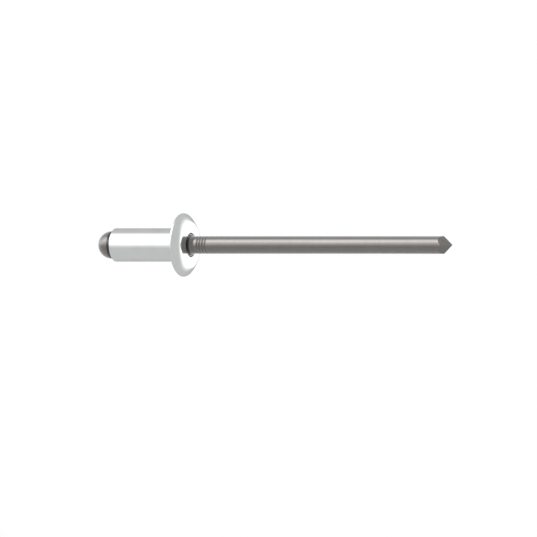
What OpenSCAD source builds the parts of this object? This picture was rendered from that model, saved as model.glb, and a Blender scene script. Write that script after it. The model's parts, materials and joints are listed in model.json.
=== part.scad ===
// Domed blind rivet, lying as it comes to rest on a flat surface.
// It leans on the rim of its flange and on the shoulder of its mandrel's point.
// Each piece is drawn about its own axis, with the flange's underside at zero
// and the point towards +Z, and then laid down along X with the point at +X.

/* [Rivet body] */
// Diameter of the tube that goes into the hole
body_d = 5; // [4:0.1:6]
// Length of the tube under the flange
body_l = 11.2; // [8:0.1:20]
// Radius round the tube's blind end
body_end_r = 0.15; // [0.05:0.05:0.3]
// Chamfer in the bore's mouth that the mandrel's head seats on
seat_chamfer = 0.06; // [0.02:0.02:0.2]

/* [Flange] */
// Diameter of the flange
flange_d = 9.5; // [8.5:0.1:11]
// Radius of the flange's domed top
dome_r = 6.6; // [6.2:0.1:9]
// Radius of the rim's front edge
rim_r = 0.44; // [0.3:0.02:0.6]
// Radius of the rim's back edge
rim_back_r = 0.08; // [0.04:0.02:0.2]
// Diameter of the flat face inside the dome
face_d = 6.3; // [5.8:0.1:7]
// Radius of the shoulder between the dome and the face
shoulder_r = 0.5; // [0.3:0.05:1]
// Diameter of the wider mouth that the bore has in the face
mouth_d = 3.55; // [3.2:0.05:4]
// Depth of the mouth's straight wall, above its conical floor
mouth_depth = 1; // [0.5:0.1:1.2]
// Chamfer round the mouth's edge
mouth_chamfer = 0.06; // [0.02:0.02:0.2]
// Fillet between the tube and the flange's underside
neck_fillet_r = 0.15; // [0.05:0.05:0.3]

/* [Mandrel] */
// Diameter of the mandrel's shank
mandrel_d = 2.65; // [2.2:0.05:2.9]
// Reach of the mandrel from the flange's underside to its point
mandrel_reach = 44.9; // [30:0.1:60]
// Diameter of the domed head at the blind end
head_d = 4.1; // [3.6:0.1:4.4]
// Angle between the head's conical underside and the axis
head_cone_angle = 45; // [35:1:55]
// Angle across the flats of the four-sided point
point_angle = 68; // [50:1:90]

/* [Grip rings] */
// Number of rings rolled into the shank
ring_count = 4; // [2:1:8]
// Distance from one ring to the next
ring_pitch = 0.47; // [0.35:0.01:0.8]
// Distance from the flange's face to the first ring
ring_start = 1.45; // [0.5:0.05:5]
// Depth of each ring
ring_depth = 0.07; // [0.03:0.01:0.15]
// Radius of each ring's rounded floor
ring_r = 0.13; // [0.1:0.01:0.16]

/* [Break neck] */
// Diameter where the mandrel snaps
break_d = 1.9; // [1.4:0.1:2.1]
// Length of the narrowest stretch
break_l = 0.15; // [0.05:0.05:0.4]
// Distance from the tube's blind end to the middle of the neck
break_depth = 2.2; // [1.5:0.1:4]
// Angle between each side of the neck and the axis
break_angle = 50; // [40:1:70]

/* [Fits] */
// Gap all round between the mandrel and the bore
bore_clearance = 0.075; // [0.02:0.005:0.15]
// Gap between the head's underside and its seat
seat_clearance = 0.01; // [0.005:0.005:0.05]

/* [Hidden] */
$fn = 128;

body_r = body_d / 2;
flange_r = flange_d / 2;
face_r = face_d / 2;
mouth_r = mouth_d / 2;
mandrel_r = mandrel_d / 2;
head_r = head_d / 2;
break_r = break_d / 2;
bore_r = mandrel_r + bore_clearance;

// Centres of the body's arcs, as [radius, height]. The dome's circle touches the rim's
// and the shoulder's from outside, so the three run on smoothly. It is then drawn a hair
// smaller, so that the arcs cross at clean corners, too blunt to see.
rim_c = [flange_r - rim_r, rim_back_r];
rim_back_c = [flange_r - rim_back_r, rim_back_r];
tube_end_c = [body_r - body_end_r, -body_l + body_end_r];
dome_z = rim_c[1] - sqrt(pow(dome_r - rim_r, 2) - pow(rim_c[0], 2));
shoulder_c = [face_r, dome_z + sqrt(pow(dome_r - shoulder_r, 2) - pow(face_r, 2))];
face_z = shoulder_c[1] + shoulder_r;
mouth_floor = face_z - mouth_depth;

// Angles at which the arcs meet, from the radial direction towards the point
rim_angle = atan2(rim_c[1] - dome_z, rim_c[0]);
shoulder_angle = atan2(shoulder_c[1] - dome_z, shoulder_c[0]);

// The head's underside lies along its seat in the bore's mouth, less the clearance
seat_r = bore_r + seat_chamfer;
head_gap = seat_clearance / sin(head_cone_angle);
head_z = -body_l - head_gap - (head_r - seat_r) / tan(head_cone_angle);
head_cone_end = head_z + (head_r - mandrel_r) / tan(head_cone_angle);
seat_end = -body_l + seat_chamfer / tan(head_cone_angle);

// The rings and the crests between them make one smooth wave, so their circles touch,
// and crest_foot_r is where they do
ring_first = face_z + ring_start;
ring_last = ring_first + (ring_count - 1) * ring_pitch;
wave_r = (pow(ring_pitch / 2, 2) + pow(ring_depth, 2)) / (2 * ring_depth);
crest_r = wave_r - ring_r;
crest_foot_r = mandrel_r - ring_depth + ring_r * ring_depth / wave_r;

// The body's seam is turned away from the line that it rests on
seam_turn = 45;

// The point has four flats, whose edges meet the shank at its shoulder
point_l = mandrel_r / tan(point_angle / 2);
edge_angle = 45;
shoulder_z = mandrel_reach - point_l * cos(edge_angle);

// Lying down, the shank's shoulder and the rim touch one level
lean_run = shoulder_z - rim_c[1];
lean_drop = rim_c[0] - mandrel_r;
lean = atan2(lean_drop, lean_run) + asin(rim_r / norm([lean_run, lean_drop]));
rest_x = (head_r - (mandrel_reach + head_z) * cos(lean)) / 2;
rest_z = rim_c[0] * cos(lean) + rim_r + rim_c[1] * sin(lean);

// Reach of the shapes that only cut, and how far joined sections run into each other
far = 4 * flange_d;
overlap = 0.01;
blend_step = 0.0001;
blend_angle = 6;

// Point that lies at a distance from a centre, in a direction
function along(centre, distance, angle) = centre + distance * [cos(angle), sin(angle)];

// Part of a disc between two directions
module sector(centre, radius, from, to) {
    intersection() {
        translate(centre) circle(r = radius);
        polygon([centre, along(centre, far, from), along(centre, far, to)]);
    }
}

// Section of the flange: rim, dome and shoulder as tangent arcs, and a flat face
module flange_section() {
    sector(rim_c, rim_r, 0, rim_angle + blend_angle);
    sector(rim_back_c, rim_back_r, -90, 0);
    sector(shoulder_c, shoulder_r, shoulder_angle - blend_angle, 90);
    intersection() {
        sector([0, dome_z], dome_r - blend_step, rim_angle, shoulder_angle);
        square([flange_r, far]);
    }
    polygon([
        [bore_r, 0], [rim_back_c[0], 0], rim_back_c, [flange_r, rim_c[1]],
        along(rim_c, rim_r / 2, rim_angle),
        along(shoulder_c, shoulder_r / 2, shoulder_angle), shoulder_c,
        [face_r, face_z], [bore_r, face_z]
    ]);
}

// The mouth that is cut into the face, down to a cone that guides the mandrel
module mouth_section() {
    polygon([
        [0, mouth_floor - mouth_r], [mouth_r, mouth_floor],
        [mouth_r, face_z - mouth_chamfer],
        [mouth_r + mouth_chamfer + overlap, face_z + overlap], [0, face_z + overlap]
    ]);
}

// Section of the tube, open along its bore
module tube_section() {
    sector(tube_end_c, body_end_r, -90, 0);
    polygon([
        [seat_r, -body_l], [tube_end_c[0], -body_l], tube_end_c, [body_r, tube_end_c[1]],
        [body_r, overlap], [bore_r, overlap], [bore_r, seat_end]
    ]);
}

// Fillet in the corner between the tube and the flange's underside
module fillet_section() {
    difference() {
        translate([body_r - overlap, -neck_fillet_r])
            square([neck_fillet_r + overlap, neck_fillet_r + overlap]);
        translate([body_r + neck_fillet_r, -neck_fillet_r])
            circle(r = neck_fillet_r);
    }
}

module rivet_body() {
    color([0.86, 0.87, 0.87]) lie_down() rotate([0, 0, seam_turn]) rotate_extrude()
        difference() {
            union() {
                flange_section();
                tube_section();
                fillet_section();
            }
            mouth_section();
        }
}

// Section of the mandrel before its grooves and neck are cut, thinned where the rings are
module mandrel_section() {
    sector([0, head_z], head_r, -90, 0);
    polygon([
        [0, head_z], [head_r, head_z], [mandrel_r, head_cone_end],
        [mandrel_r, ring_first], [crest_foot_r, ring_first],
        [crest_foot_r, ring_last], [mandrel_r, ring_last],
        [mandrel_r, mandrel_reach + overlap], [0, mandrel_reach + overlap]
    ]);
}

// Round crests between the rings, as high as the shank
module crest_sections() {
    for (i = [0 : ring_count - 2])
        translate([0, ring_first + (i + 0.5) * ring_pitch]) intersection() {
            translate([mandrel_r - crest_r, 0]) circle(r = crest_r + blend_step);
            translate([crest_foot_r - overlap, -ring_pitch / 2]) square(ring_pitch);
        }
}

// Grip rings, rolled as round-bottomed grooves
module ring_sections() {
    for (i = [0 : ring_count - 1])
        translate([mandrel_r - ring_depth + ring_r, ring_first + i * ring_pitch])
            circle(r = ring_r);
}

// The neck where the mandrel snaps once the rivet is set
module break_section() {
    half = break_l / 2;
    slope = (mandrel_r + overlap - break_r) / tan(break_angle);
    translate([0, -body_l + break_depth])
        polygon([
            [break_r, -half], [mandrel_r + overlap, -half - slope],
            [mandrel_r + overlap, half + slope], [break_r, half]
        ]);
}

// Wedge that leaves two of the point's four flats
module point_wedge() {
    length = mandrel_reach - head_z + head_r;
    half = length * tan(point_angle / 2);
    rotate([90, 0, 0]) linear_extrude(height = far, center = true)
        polygon([
            [-half, mandrel_reach - length], [half, mandrel_reach - length],
            [0, mandrel_reach]
        ]);
}

module mandrel() {
    color([0.5, 0.48, 0.46]) lie_down() intersection() {
        rotate_extrude() difference() {
            union() {
                mandrel_section();
                crest_sections();
            }
            ring_sections();
            break_section();
        }
        rotate([0, 0, edge_angle]) point_wedge();
        rotate([0, 0, -edge_angle]) point_wedge();
    }
}

// Turns a piece from its own axis into the pose in which the rivet rests
module lie_down() {
    translate([rest_x, 0, rest_z]) rotate([0, 90 + lean, 0]) children();
}

rivet_body();
mandrel();
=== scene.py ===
import json
import math

import bmesh
import bpy
from mathutils import Matrix, Vector


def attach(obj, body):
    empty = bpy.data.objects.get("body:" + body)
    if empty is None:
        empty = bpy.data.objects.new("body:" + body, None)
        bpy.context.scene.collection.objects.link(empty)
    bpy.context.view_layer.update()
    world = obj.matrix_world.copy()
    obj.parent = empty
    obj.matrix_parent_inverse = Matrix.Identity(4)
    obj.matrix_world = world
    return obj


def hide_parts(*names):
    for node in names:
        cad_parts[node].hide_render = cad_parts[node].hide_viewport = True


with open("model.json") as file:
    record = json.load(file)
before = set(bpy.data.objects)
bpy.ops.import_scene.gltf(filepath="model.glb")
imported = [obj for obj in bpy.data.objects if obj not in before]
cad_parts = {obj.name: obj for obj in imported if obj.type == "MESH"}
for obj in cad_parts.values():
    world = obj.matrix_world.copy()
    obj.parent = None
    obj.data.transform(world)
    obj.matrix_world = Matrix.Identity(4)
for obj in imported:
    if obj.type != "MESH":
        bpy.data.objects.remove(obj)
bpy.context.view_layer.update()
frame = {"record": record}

millimetre = 0.001
mergeDistance = 0.00001  # in millimetres
sharpAngle = 24  # in degrees: where two faces meet at more, the edge is shaded sharp

# The record's mounts say where the rivet lies: its line, the flange's seat on that line,
# and the two radii that everything else is built on.
mounts = {mount["name"]: mount for mount in frame["record"]["mounts"]}
towardsPoint = Vector(mounts["mandrel_grip"]["axis"]).normalized()
seatCentre = Vector(mounts["under_head_face"]["pos_m"])
seatCentre.y = 0
tubeRadius = mounts["rivet_shank"]["dims"]["r_mm"]
wireRadius = mounts["mandrel_grip"]["dims"]["r_mm"]

# A piece is drawn in millimetres about its own axis, with the flange's underside at zero and
# the point towards +Z, and laid down at the end.
lyingTurn = math.atan2(towardsPoint.x, towardsPoint.z)
layDown = (
    Matrix.Translation(seatCentre)
    @ Matrix.Rotation(lyingTurn, 4, "Y")
    @ Matrix.Scale(millimetre, 4)
)
print("frame loaded, lean", round(math.degrees(lyingTurn) - 90, 2), "degrees")


# half a section is drawn with a pen, and turned about the axis when it is done
def startAt(bm, radius, height):
    return bm.verts.new((radius, 0, height))


def lineTo(bm, pen, radius, height):
    pen = bmesh.ops.extrude_vert_indiv(bm, verts=[pen])["verts"][0]
    pen.co = (radius, 0, height)
    return pen


def arcRound(bm, pen, centre, turn, steps):
    # a positive turn goes from the radial direction towards the point
    swung = bmesh.ops.spin(
        bm, geom=[pen], cent=(centre[0], 0, centre[1]), axis=(0, -1, 0),
        angle=math.radians(turn), steps=steps,
    )
    return swung["geom_last"][0]


def turnOnAxis(bm, steps):
    bmesh.ops.spin(
        bm, geom=bm.verts[:] + bm.edges[:], cent=(0, 0, 0), axis=(0, 0, 1),
        angle=2 * math.pi, steps=steps, use_merge=True,
    )
    bmesh.ops.remove_doubles(bm, verts=bm.verts[:], dist=mergeDistance)


def finishPiece(bm, name, node, materials):
    bmesh.ops.recalc_face_normals(bm, faces=bm.faces[:])
    bm.transform(layDown)
    mesh = bpy.data.meshes.new(name)
    bm.to_mesh(mesh)
    bm.free()
    for material in materials:
        mesh.materials.append(material)
    mesh.shade_smooth()
    mesh.set_sharp_from_angle(angle=math.radians(sharpAngle))
    piece = bpy.data.objects.new(name, mesh)
    bpy.context.scene.collection.objects.link(piece)
    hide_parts(node)
    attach(piece, "root")
    print(name, "made,", len(mesh.polygons), "faces")


# the materials are built from these few kinds of node
def placeNode(tree, kind, **values):
    # a value is a setting of the node, or else the socket of that name
    node = tree.nodes.new(kind)
    for name, value in values.items():
        if hasattr(node, name):
            setattr(node, name, value)
        else:
            node.inputs[name.replace("_", " ")].default_value = value
    return node


def pieceCoordinates(tree):
    # millimetres about the rivet's own axis, whatever way it lies
    where = placeNode(tree, "ShaderNodeTexCoord")
    upright = placeNode(tree, "ShaderNodeMapping", vector_type="TEXTURE")
    upright.inputs["Location"].default_value = seatCentre
    upright.inputs["Rotation"].default_value = (0, lyingTurn, 0)
    upright.inputs["Scale"].default_value = (millimetre, millimetre, millimetre)
    tree.links.new(where.outputs["Object"], upright.inputs["Vector"])
    return upright.outputs["Vector"]


def stretched(tree, coordinates, scale):
    mapping = placeNode(tree, "ShaderNodeMapping", Scale=scale)
    tree.links.new(coordinates, mapping.inputs["Vector"])
    return mapping.outputs["Vector"]


def noise(tree, coordinates, scale, detail, roughness=0.5):
    node = placeNode(
        tree, "ShaderNodeTexNoise", Scale=scale, Detail=detail, Roughness=roughness
    )
    tree.links.new(coordinates, node.inputs["Vector"])
    return node.outputs["Fac"]


def remap(tree, value, fromLow, fromHigh, toLow, toHigh, smooth=False):
    node = placeNode(
        tree, "ShaderNodeMapRange", From_Min=fromLow, From_Max=fromHigh,
        To_Min=toLow, To_Max=toHigh, interpolation_type="SMOOTHSTEP" if smooth else "LINEAR",
    )
    tree.links.new(value, node.inputs["Value"])
    return node.outputs["Result"]


def blendTones(tree, factor, dark, light):
    node = placeNode(tree, "ShaderNodeMix", data_type="RGBA")
    for socket in node.inputs:
        if socket.type == "RGBA" and socket.name == "A":
            socket.default_value = (*dark, 1)
        if socket.type == "RGBA" and socket.name == "B":
            socket.default_value = (*light, 1)
    tree.links.new(factor, node.inputs["Factor"])
    return node.outputs[2]


def arithmetic(tree, operation, *values):
    # each value is a number or another node's output
    node = placeNode(tree, "ShaderNodeMath", operation=operation)
    for slot, value in enumerate(values):
        if isinstance(value, (int, float)):
            node.inputs[slot].default_value = value
        else:
            tree.links.new(value, node.inputs[slot])
    return node.outputs[0]


def addBump(tree, height, depth, strength, under=None):
    node = placeNode(tree, "ShaderNodeBump", Strength=strength, Distance=depth * millimetre)
    tree.links.new(height, node.inputs["Height"])
    if under is not None:
        tree.links.new(under, node.inputs["Normal"])
    return node.outputs["Normal"]


def distanceFromAxis(tree, coordinates):
    flat = placeNode(tree, "ShaderNodeVectorMath", operation="MULTIPLY")
    flat.inputs[1].default_value = (1, 1, 0)
    tree.links.new(coordinates, flat.inputs[0])
    length = placeNode(tree, "ShaderNodeVectorMath", operation="LENGTH")
    tree.links.new(flat.outputs["Vector"], length.inputs[0])
    return length.outputs["Value"]


def heightAlong(tree, coordinates):
    parts = placeNode(tree, "ShaderNodeSeparateXYZ")
    tree.links.new(coordinates, parts.inputs["Vector"])
    return parts.outputs["Z"]


def metal(name):
    material = bpy.data.materials.new(name)
    material.use_nodes = True
    shader = material.node_tree.nodes["Principled BSDF"]
    shader.inputs["Metallic"].default_value = 1
    return material, material.node_tree, shader


# the body is one cold-headed piece, open along its bore
body = {
    "length": 11.2,
    "endRadius": 0.15,
    "seatChamfer": 0.06,
    "flangeRadius": 4.75,
    "domeRadius": 6.6,
    "rimRadius": 0.44,
    "rimBackRadius": 0.08,
    "shoulderRadius": 0.8,
    "faceRadius": 3.12,
    "mouthRadius": 1.775,
    "mouthDepth": 1,
    "mouthChamfer": 0.06,
    "neckFillet": 0.15,
    "boreClearance": 0.075,
    "turnSteps": 192,
    "smallArcSteps": 8,
    "backEdgeSteps": 6,
    "frontArcSteps": 14,
    "darkTone": (0.83, 0.84, 0.845),
    "lightTone": (0.91, 0.915, 0.915),
    "toneRange": (0.45, 0.95),
    "edgeTint": (0.84, 0.845, 0.855),
    "smoothest": 0.09,
    "roughest": 0.17,
    "hazeRange": (0.35, 0.7),
    "rimWear": 0.03,
    "ironedRadius": 3.3,
    "ironedFade": 0.6,
    "ironedShare": 0.35,
    # the patterns' scales, and how deep they stand, in millimetres
    "cloudScale": 0.55,
    "lineScale": (9, 9, 0.22),
    "lineShare": 0.35,
    "lineDepth": 0.004,
    "hazeScale": 1.7,
    "grainScale": 11,
    "grainDepth": 0.0025,
    "nickScale": 0.75,
    "nickRange": (0.04, 0.1),
    "nickDepth": 0.006,
}


def headedAluminium():
    material, tree, shader = metal("headedAluminium")
    shader.inputs["Specular Tint"].default_value = (*body["edgeTint"], 1)
    place = pieceCoordinates(tree)
    radius = distanceFromAxis(tree, place)

    # cloudy tone left by the wash after heading, and faint lines drawn along the tube
    clouds = noise(tree, place, body["cloudScale"], 5, 0.6)
    drawn = noise(tree, stretched(tree, place, body["lineScale"]), 1, 3)
    tone = arithmetic(tree, "MULTIPLY_ADD", drawn, body["lineShare"], clouds)
    tone = remap(tree, tone, *body["toneRange"], 0, 1)
    shade = blendTones(tree, tone, body["darkTone"], body["lightTone"])
    tree.links.new(shade, shader.inputs["Base Color"])

    # handling dulls the metal in patches, and most on the flange's rim
    haze = remap(tree, noise(tree, place, body["hazeScale"], 6, 0.65), *body["hazeRange"],
                 body["smoothest"], body["roughest"])
    rimWear = remap(tree, radius, body["flangeRadius"] - body["rimRadius"],
                    body["flangeRadius"], 0, body["rimWear"])
    # the punch ironed the face, which is the smoothest place
    ironed = remap(tree, radius, body["ironedRadius"],
                   body["ironedRadius"] + body["ironedFade"], body["ironedShare"], 1)
    dull = arithmetic(tree, "MULTIPLY", arithmetic(tree, "ADD", haze, rimWear), ironed)
    tree.links.new(dull, shader.inputs["Roughness"])

    # drawn lines, grain of the headed metal, and a few nicks from the bin
    grain = noise(tree, place, body["grainScale"], 4, 0.6)
    nicks = placeNode(tree, "ShaderNodeTexVoronoi", feature="F1", Scale=body["nickScale"])
    tree.links.new(place, nicks.inputs["Vector"])
    dents = remap(tree, nicks.outputs["Distance"], *body["nickRange"], 0, 1)
    normal = addBump(tree, drawn, body["lineDepth"], 0.5)
    normal = addBump(tree, arithmetic(tree, "MULTIPLY", grain, ironed), body["grainDepth"],
                     0.5, normal)
    normal = addBump(tree, dents, body["nickDepth"], 0.4, normal)
    tree.links.new(normal, shader.inputs["Normal"])
    return material


def makeBody():
    boreRadius = wireRadius + body["boreClearance"]
    seatRadius = boreRadius + body["seatChamfer"]
    flangeRadius = body["flangeRadius"]
    dome = body["domeRadius"]

    # the rim, the dome and the shoulder are arcs that touch, and the face is flat
    endCentre = (tubeRadius - body["endRadius"], -body["length"] + body["endRadius"])
    backCentre = (flangeRadius - body["rimBackRadius"], body["rimBackRadius"])
    rimCentre = (flangeRadius - body["rimRadius"], body["rimBackRadius"])
    domeHeight = rimCentre[1] - math.sqrt((dome - body["rimRadius"]) ** 2 - rimCentre[0] ** 2)
    shoulder = body["shoulderRadius"]
    shoulderAcross = body["faceRadius"]
    shoulderAlong = domeHeight + math.sqrt((dome - shoulder) ** 2 - shoulderAcross ** 2)
    rimAngle = math.degrees(math.atan2(rimCentre[1] - domeHeight, rimCentre[0]))
    shoulderAngle = math.degrees(math.atan2(shoulderAlong - domeHeight, shoulderAcross))
    face = shoulderAlong + shoulder
    mouth = body["mouthRadius"]
    mouthFloor = face - body["mouthDepth"]
    chamfer = body["mouthChamfer"]
    fillet = body["neckFillet"]
    smallSteps = body["smallArcSteps"]
    frontSteps = body["frontArcSteps"]

    bm = bmesh.new()
    first = startAt(bm, seatRadius, -body["length"])
    pen = lineTo(bm, first, endCentre[0], -body["length"])
    pen = arcRound(bm, pen, endCentre, 90, smallSteps)
    pen = lineTo(bm, pen, tubeRadius, -fillet)
    pen = arcRound(bm, pen, (tubeRadius + fillet, -fillet), -90, smallSteps)
    pen = lineTo(bm, pen, backCentre[0], 0)
    pen = arcRound(bm, pen, backCentre, 90, body["backEdgeSteps"])
    pen = arcRound(bm, pen, rimCentre, rimAngle, frontSteps)
    pen = arcRound(bm, pen, (0, domeHeight), shoulderAngle - rimAngle, frontSteps)
    pen = arcRound(bm, pen, (shoulderAcross, shoulderAlong), 90 - shoulderAngle, frontSteps)
    pen = lineTo(bm, pen, mouth + chamfer, face)
    pen = lineTo(bm, pen, mouth, face - chamfer)
    pen = lineTo(bm, pen, mouth, mouthFloor)
    pen = lineTo(bm, pen, boreRadius, mouthFloor - mouth + boreRadius)
    pen = lineTo(bm, pen, boreRadius, -body["length"] + body["seatChamfer"])
    bm.edges.new((pen, first))
    turnOnAxis(bm, body["turnSteps"])
    finishPiece(bm, "rivetBody", "rivet_body", [headedAluminium()])


# the mandrel is one wire, with a head, a break neck, grip rings and a pinched point
mandrel = {
    "headRadius": 2.05,
    "headConeAngle": 45,
    "seatGap": 0.01,
    "reach": 44.9,
    "pointAngle": 68,
    "ridgeBevel": 0.03,
    "ringCount": 4,
    "ringPitch": 0.47,
    "firstRing": 2.8527,
    "ringDepth": 0.07,
    "ringRadius": 0.13,
    "breakRadius": 0.95,
    "breakLength": 0.15,
    "breakDepth": 2.2,
    "breakAngle": 50,
    "turnSteps": 160,
    "headArcSteps": 32,
    "ringArcSteps": 10,
    "crestArcSteps": 6,
    # the drawn wire, with its patterns' scales and depths as the body's are given
    "darkTone": (0.191, 0.178, 0.169),
    "lightTone": (0.251, 0.236, 0.226),
    "toneRange": (0.35, 0.65),
    "smoothest": 0.06,
    "roughest": 0.12,
    "dullRange": (0.6, 1.1),
    "sheen": 1,
    "lineScale": (16, 16, 0.12),
    "lineShare": 0.5,
    "lineDepth": 0.0015,
    "broadScale": (3, 3, 0.06),
    "broadShare": 0.25,
    "blotchScale": 0.8,
    "blotchShare": 0.25,
    "grainScale": 9,
    "grainDepth": 0.001,
    # painted shade in the bottoms of the rings
    "grooveShadeTone": 0.68,
    "grooveShadeRange": (0.1, 0.8),
    "ringPolish": 0.04,
    "ringPolishFade": 0.5,
    # painted shade under the head, from its underside to just inside the tube's end
    "creviceShadeTone": 0.3,
    "creviceShadeStart": 0.05,
    "creviceShadeEnd": (0.1, 0.3),
    "headTurned": 1,
    "headTurnedAcross": 0.25,
    "headRoughening": 0.22,
    # the flats of the point
    "cutTone": (0.27, 0.262, 0.252),
    "cutLightening": 1.1,
    "patchScale": 1.6,
    "patchRange": (0.35, 0.65),
    "cutSmoothest": 0.3,
    "cutRoughest": 0.42,
    "tearScale": (2, 2, 11),
    "tearRange": (0.3, 0.7),
    "tearDepth": 0.006,
}


def mandrelHeadHeight():
    # the head's underside lies along its seat in the bore, less a small gap
    slope = math.radians(mandrel["headConeAngle"])
    seatRadius = wireRadius + body["boreClearance"] + body["seatChamfer"]
    gap = mandrel["seatGap"] / math.sin(slope)
    return -body["length"] - gap - (mandrel["headRadius"] - seatRadius) / math.tan(slope)


def drawnSteel(name, turned=False):
    material, tree, shader = metal(name)
    shader.inputs["Sheen Weight"].default_value = mandrel["sheen"]
    place = pieceCoordinates(tree)
    along = heightAlong(tree, place)

    # fine lines from the drawing die run the length of the wire
    fine = noise(tree, stretched(tree, place, mandrel["lineScale"]), 1, 4, 0.6)
    broad = noise(tree, stretched(tree, place, mandrel["broadScale"]), 1, 2)
    blotches = noise(tree, place, mandrel["blotchScale"], 5, 0.6)
    streaks = arithmetic(tree, "ADD",
                         arithmetic(tree, "MULTIPLY", fine, mandrel["lineShare"]),
                         arithmetic(tree, "MULTIPLY", broad, mandrel["broadShare"]))
    tone = arithmetic(tree, "MULTIPLY_ADD", blotches, mandrel["blotchShare"], streaks)
    tone = remap(tree, tone, *mandrel["toneRange"], 0, 1)
    shade = blendTones(tree, tone, mandrel["darkTone"], mandrel["lightTone"])

    # painted shade darkens the bottoms of the rings
    depth = arithmetic(tree, "SUBTRACT", wireRadius, distanceFromAxis(tree, place))
    shallow, deep = (share * mandrel["ringDepth"] for share in mandrel["grooveShadeRange"])
    paintedShade = remap(tree, depth, shallow, deep, 1, mandrel["grooveShadeTone"])

    # and painted shade darkens the wire under the head, where the light hardly reaches
    headEdge = mandrelHeadHeight()
    under = remap(tree, along, headEdge, headEdge + mandrel["creviceShadeStart"],
                  1, mandrel["creviceShadeTone"])
    darkest, clear = (step - body["length"] for step in mandrel["creviceShadeEnd"])
    inside = remap(tree, along, darkest, clear, 0, 1)
    paintedShade = arithmetic(tree, "MULTIPLY", paintedShade, arithmetic(tree, "MAXIMUM", under, inside))
    # the wire's colour is darkened by the painted shade
    shadedColour = placeNode(tree, "ShaderNodeVectorMath", operation="SCALE")
    tree.links.new(shade, shadedColour.inputs[0])
    tree.links.new(paintedShade, shadedColour.inputs["Scale"])
    tree.links.new(shadedColour.outputs["Vector"], shader.inputs["Base Color"])

    # the rolled rings are rubbed smoother than the wire
    dull = remap(tree, arithmetic(tree, "ADD", streaks, blotches), *mandrel["dullRange"],
                 mandrel["smoothest"], mandrel["roughest"])
    ringsEnd = mandrel["firstRing"] + mandrel["ringCount"] * mandrel["ringPitch"]
    polish = remap(tree, along, ringsEnd, ringsEnd + mandrel["ringPolishFade"],
                   -mandrel["ringPolish"], 0)
    dull = arithmetic(tree, "ADD", dull, polish)

    # the die that upset the head was turned, so lights spread towards the head's tip
    if turned:
        dull = arithmetic(tree, "ADD", dull, mandrel["headRoughening"])
        shader.inputs["Anisotropic"].default_value = mandrel["headTurned"]
        shader.inputs["Anisotropic Rotation"].default_value = mandrel["headTurnedAcross"]
        where = placeNode(tree, "ShaderNodeTexCoord")
        around = placeNode(tree, "ShaderNodeVectorMath", operation="SUBTRACT")
        around.inputs[1].default_value = seatCentre
        tree.links.new(where.outputs["Object"], around.inputs[0])
        circle = placeNode(tree, "ShaderNodeVectorMath", operation="CROSS_PRODUCT")
        circle.inputs[0].default_value = towardsPoint
        tree.links.new(around.outputs["Vector"], circle.inputs[1])
        tree.links.new(circle.outputs["Vector"], shader.inputs["Tangent"])
    tree.links.new(dull, shader.inputs["Roughness"])

    grain = noise(tree, place, mandrel["grainScale"], 4, 0.65)
    normal = addBump(tree, fine, mandrel["lineDepth"], 0.5)
    normal = addBump(tree, grain, mandrel["grainDepth"], 0.5, normal)
    tree.links.new(normal, shader.inputs["Normal"])
    return material


def pinchedSteel():
    material, tree, shader = metal("pinchedSteel")
    place = pieceCoordinates(tree)

    # the point is pinched off the wire, so its flats are plainer and crossed by fine tearing
    torn = noise(tree, stretched(tree, place, mandrel["tearScale"]), 1, 4, 0.6)
    patches = noise(tree, place, mandrel["patchScale"], 4)
    patches = remap(tree, patches, *mandrel["patchRange"], 0, 1)
    darker = mandrel["cutTone"]
    lighter = tuple(mandrel["cutLightening"] * channel for channel in darker)
    tree.links.new(blendTones(tree, patches, darker, lighter), shader.inputs["Base Color"])
    dull = remap(tree, torn, *mandrel["tearRange"], mandrel["cutSmoothest"],
                 mandrel["cutRoughest"])
    tree.links.new(dull, shader.inputs["Roughness"])
    normal = addBump(tree, torn, mandrel["tearDepth"], 0.5)
    tree.links.new(normal, shader.inputs["Normal"])
    return material


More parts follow.
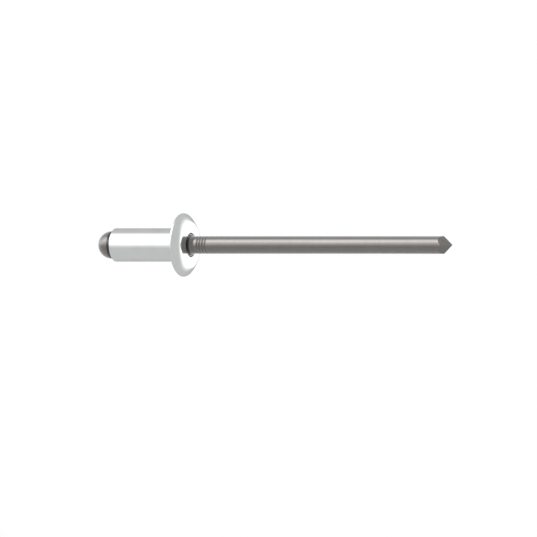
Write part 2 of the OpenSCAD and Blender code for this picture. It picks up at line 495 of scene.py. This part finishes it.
def makeMandrel():
    head = mandrel["headRadius"]
    coneTan = math.tan(math.radians(mandrel["headConeAngle"]))
    headHeight = mandrelHeadHeight()
    coneEnd = headHeight + (head - wireRadius) / coneTan

    neck = mandrel["breakRadius"]
    neckMiddle = -body["length"] + mandrel["breakDepth"]
    neckHalf = mandrel["breakLength"] / 2
    neckSlope = (wireRadius - neck) / math.tan(math.radians(mandrel["breakAngle"]))

    # the rings and the crests between them are arcs that touch
    ringRadius = mandrel["ringRadius"]
    pitch = mandrel["ringPitch"]
    depth = mandrel["ringDepth"]
    waveRadius = ((pitch / 2) ** 2 + depth ** 2) / (2 * depth)
    crestRadius = waveRadius - ringRadius
    ringLine = wireRadius - depth + ringRadius
    crestLine = wireRadius - crestRadius
    edgeTurn = math.degrees(math.acos((ringRadius - depth) / ringRadius))
    waveTurn = math.degrees(math.asin(pitch / 2 / waveRadius))
    ringEdge = ringRadius * math.sin(math.radians(edgeTurn))

    bm = bmesh.new()
    pen = startAt(bm, 0, headHeight - head)
    pen = arcRound(bm, pen, (0, headHeight), 90, mandrel["headArcSteps"])
    pen = lineTo(bm, pen, wireRadius, coneEnd)
    pen = lineTo(bm, pen, wireRadius, neckMiddle - neckHalf - neckSlope)
    pen = lineTo(bm, pen, neck, neckMiddle - neckHalf)
    pen = lineTo(bm, pen, neck, neckMiddle + neckHalf)
    pen = lineTo(bm, pen, wireRadius, neckMiddle + neckHalf + neckSlope)
    pen = lineTo(bm, pen, wireRadius, mandrel["firstRing"] - ringEdge)
    for ring in range(mandrel["ringCount"]):
        ringHeight = mandrel["firstRing"] + ring * pitch
        isLast = ring == mandrel["ringCount"] - 1
        enters = edgeTurn if ring == 0 else waveTurn
        leaves = edgeTurn if isLast else waveTurn
        pen = arcRound(bm, pen, (ringLine, ringHeight), -enters - leaves,
                       mandrel["ringArcSteps"])
        if not isLast:
            pen = arcRound(bm, pen, (crestLine, ringHeight + pitch / 2), 2 * waveTurn,
                           mandrel["crestArcSteps"])
    # the wire runs on past the point, whose flats then cut it off
    pen = lineTo(bm, pen, wireRadius, mandrel["reach"] + wireRadius)
    lineTo(bm, pen, 0, mandrel["reach"] + wireRadius)
    turnOnAxis(bm, mandrel["turnSteps"])

    materials = [drawnSteel("drawnSteel"), pinchedSteel(), drawnSteel("upsetSteel", True)]
    flatSlot, headSlot = 1, 2
    for face in bm.faces:
        if face.calc_center_median().z < headHeight:
            face.material_index = headSlot

    # four flats, cut one after another and closed, with a ridge between two of them at the
    # bottom
    flatTilt = math.radians(mandrel["pointAngle"] / 2)
    for quarter in range(4):
        around = math.radians(45 + 90 * quarter)
        outwards = Vector((
            math.cos(flatTilt) * math.cos(around),
            math.cos(flatTilt) * math.sin(around),
            math.sin(flatTilt),
        ))
        cut = bmesh.ops.bisect_plane(
            bm, geom=bm.verts[:] + bm.edges[:] + bm.faces[:], dist=mergeDistance,
            plane_co=(0, 0, mandrel["reach"]), plane_no=outwards, clear_outer=True,
        )
        opened = [part for part in cut["geom_cut"] if isinstance(part, bmesh.types.BMEdge)]
        closed = bmesh.ops.edgeloop_fill(bm, edges=opened)
        for face in closed["faces"]:
            face.material_index = flatSlot
    bmesh.ops.remove_doubles(bm, verts=bm.verts[:], dist=mergeDistance)

    ridges = [
        edge for edge in bm.edges if len(edge.link_faces) == 2
        and all(face.material_index == flatSlot for face in edge.link_faces)
    ]
    bmesh.ops.bevel(
        bm, geom=ridges, offset=mandrel["ridgeBevel"], affect="EDGES", segments=2,
        profile=0.5, material=-1,
    )
    flatFaces = sum(face.material_index == flatSlot for face in bm.faces)
    print("point cut,", len(ridges), "ridges,", flatFaces, "faces")
    finishPiece(bm, "pullMandrel", "mandrel", materials)


makeBody()
makeMandrel()


view = {
    "frame": 537,
    "pixelsPerMillimetre": 6.68,
    "axisTowardsCamera": 0.4375,
    "rimPixel": (182.9, 244.45),
    "rimHeight": 0.08,
    "distance": 0.6,
    "clip": (0.001, 10),
}

# the camera looks level and is rolled a little, so that the rivet's line runs straight across
turn = math.asin(view["axisTowardsCamera"] / towardsPoint.x)
towardsCamera = Vector((math.sin(turn), -math.cos(turn), 0))
acrossFrame = (towardsPoint - towardsPoint.dot(towardsCamera) * towardsCamera).normalized()
upFrame = towardsCamera.cross(acrossFrame)
middlePixel = (view["frame"] - 1) / 2
pixel = millimetre / view["pixelsPerMillimetre"]
frameCentre = (
    seatCentre
    + view["rimHeight"] * millimetre * towardsPoint
    + (middlePixel - view["rimPixel"][0]) * pixel * acrossFrame
    - (middlePixel - view["rimPixel"][1]) * pixel * upFrame
)
camera = bpy.data.objects.new("camera", bpy.data.cameras.new("camera"))
camera.data.type = "ORTHO"
camera.data.ortho_scale = view["frame"] * pixel
camera.data.clip_start, camera.data.clip_end = view["clip"]
looking = Matrix((acrossFrame, upFrame, towardsCamera)).transposed().to_4x4()
camera.matrix_world = (
    Matrix.Translation(frameCentre + view["distance"] * towardsCamera) @ looking
)
bpy.context.scene.collection.objects.link(camera)
bpy.context.scene.camera = camera
print("camera placed")


studio = {
    "floorSize": 8,
    "floorTone": (0.8, 0.8, 0.8),
    "floorRoughness": 0.9,
    "worldDiffuse": 0.8,
    "keyPower": 0.6,
    "keySize": 0.35,
    "keyDistance": 0.5,
    "keyAngle": 45,
    "tentRadius": 1.2,
    "tentSides": 48,
    "tentRings": 24,
    "tentGrey": 0.59,
    # the soft window over the camera's side, in degrees above it about the rivet's line
    "frontGlow": 2.75,
    "frontRise": (-22, 52),
    "frontFall": (111, 47),
    "frontPower": 1.6,
    "frontFade": (0.45, -0.35),  # how far towards the point, from 1 to -1
    # the soft window behind the point, in degrees about the upright through the flange
    "backGlow": 0.7,
    "backMiddle": -40,
    "backNearWidth": 42,
    "backFarWidth": 47,
    "backLift": -0.8,
    "backHalfHeight": 38.9,
    "backSoftness": 0.25,  # as a share of the window's size
}


def tentLight():
    # a grey tent with two soft windows, which only the metal's reflections see
    material = bpy.data.materials.new("tentLight")
    material.use_nodes = True
    tree = material.node_tree
    tree.nodes.clear()
    normalise = placeNode(tree, "ShaderNodeVectorMath", operation="NORMALIZE")
    tree.links.new(pieceCoordinates(tree), normalise.inputs[0])
    parts = placeNode(tree, "ShaderNodeSeparateXYZ")
    tree.links.new(normalise.outputs["Vector"], parts.inputs["Vector"])
    up = arithmetic(tree, "MULTIPLY", parts.outputs["X"], -1)
    near = arithmetic(tree, "MULTIPLY", parts.outputs["Y"], -1)
    along = parts.outputs["Z"]

    aboutLine = arithmetic(tree, "ARCTAN2", up, near)
    rise = remap(tree, aboutLine, *map(math.radians, studio["frontRise"]), 0, 1)
    fall = remap(tree, aboutLine, *map(math.radians, studio["frontFall"]), 0, 1, True)
    fade = remap(tree, along, *studio["frontFade"], 0, 1, True)
    front = arithmetic(tree, "POWER", arithmetic(tree, "MULTIPLY", rise, fall),
                       studio["frontPower"])
    front = arithmetic(tree, "MULTIPLY", front, fade)

    aboutUpright = arithmetic(tree, "ARCTAN2", near, along)
    middle = studio["backMiddle"]
    nearSide, farSide = (
        remap(tree, aboutUpright, math.radians(middle), math.radians(middle + reach), 0, 1)
        for reach in (studio["backNearWidth"], -studio["backFarWidth"])
    )
    across = arithmetic(tree, "MAXIMUM", nearSide, farSide)
    lift = studio["backLift"]
    above = remap(tree, arithmetic(tree, "ARCSINE", up), math.radians(lift),
                  math.radians(lift + studio["backHalfHeight"]), 0, 1)
    for reading in (nearSide, farSide, above):
        reading.node.clamp = False
    ellipse = arithmetic(tree, "ADD", arithmetic(tree, "MULTIPLY", across, across),
                         arithmetic(tree, "MULTIPLY", above, above))
    back = remap(tree, ellipse, 1 + studio["backSoftness"], 1 - studio["backSoftness"],
                 0, 1, True)

    strength = arithmetic(tree, "ADD", studio["tentGrey"],
                          arithmetic(tree, "MULTIPLY", front, studio["frontGlow"]))
    strength = arithmetic(tree, "ADD", strength,
                          arithmetic(tree, "MULTIPLY", back, studio["backGlow"]))
    emission = placeNode(tree, "ShaderNodeEmission")
    tree.links.new(strength, emission.inputs["Strength"])
    output = placeNode(tree, "ShaderNodeOutputMaterial")
    tree.links.new(emission.outputs["Emission"], output.inputs["Surface"])
    return material


def floorPaper():
    material = bpy.data.materials.new("floorPaper")
    material.use_nodes = True
    shader = material.node_tree.nodes["Principled BSDF"]
    shader.inputs["Base Color"].default_value = (*studio["floorTone"], 1)
    shader.inputs["Roughness"].default_value = studio["floorRoughness"]
    shader.inputs["Specular IOR Level"].default_value = 0
    return material


def placeBackdrop(bm, name, material):
    mesh = bpy.data.meshes.new(name)
    bm.to_mesh(mesh)
    bm.free()
    mesh.materials.append(material)
    backdrop = bpy.data.objects.new(name, mesh)
    bpy.context.scene.collection.objects.link(backdrop)
    return backdrop


bm = bmesh.new()
bmesh.ops.create_uvsphere(
    bm, u_segments=studio["tentSides"], v_segments=studio["tentRings"],
    radius=studio["tentRadius"],
)
bmesh.ops.translate(bm, verts=bm.verts[:], vec=seatCentre)
tent = placeBackdrop(bm, "tent", tentLight())
tent.visible_camera = False
tent.visible_diffuse = False
tent.visible_shadow = False

bm = bmesh.new()
bmesh.ops.create_grid(bm, x_segments=1, y_segments=1, size=studio["floorSize"] / 2)
floor = placeBackdrop(bm, "floor", floorPaper())
floor.visible_glossy = False  # the metal shows the tent instead

lamp = bpy.data.lights.new("key", "AREA")
lamp.shape = "DISK"
lamp.size = studio["keySize"]
lamp.energy = studio["keyPower"]
key = bpy.data.objects.new("key", lamp)
keyAngle = math.radians(studio["keyAngle"])
keyWay = math.cos(keyAngle) * towardsCamera + math.sin(keyAngle) * upFrame
key.location = studio["keyDistance"] * keyWay
key.rotation_mode = "QUATERNION"
key.rotation_quaternion = keyWay.to_track_quat("Z", "Y")
key.visible_glossy = False
bpy.context.scene.collection.objects.link(key)

# white behind the rivet and in its reflections, softer as light on the floor
world = bpy.data.worlds.new("studio")
bpy.context.scene.world = world
world.use_nodes = True
tree = world.node_tree
background = tree.nodes["Background"]
background.inputs["Color"].default_value = (1, 1, 1, 1)
path = placeNode(tree, "ShaderNodeLightPath")
seen = arithmetic(tree, "ADD", path.outputs["Is Camera Ray"], path.outputs["Is Glossy Ray"])
seen = arithmetic(tree, "ADD", seen, path.outputs["Is Transmission Ray"])
seen = arithmetic(tree, "MINIMUM", seen, 1)
level = remap(tree, seen, 0, 1, studio["worldDiffuse"], 1)
tree.links.new(level, background.inputs["Strength"])
bpy.context.scene.view_settings.view_transform = "Standard"
print("studio lit")
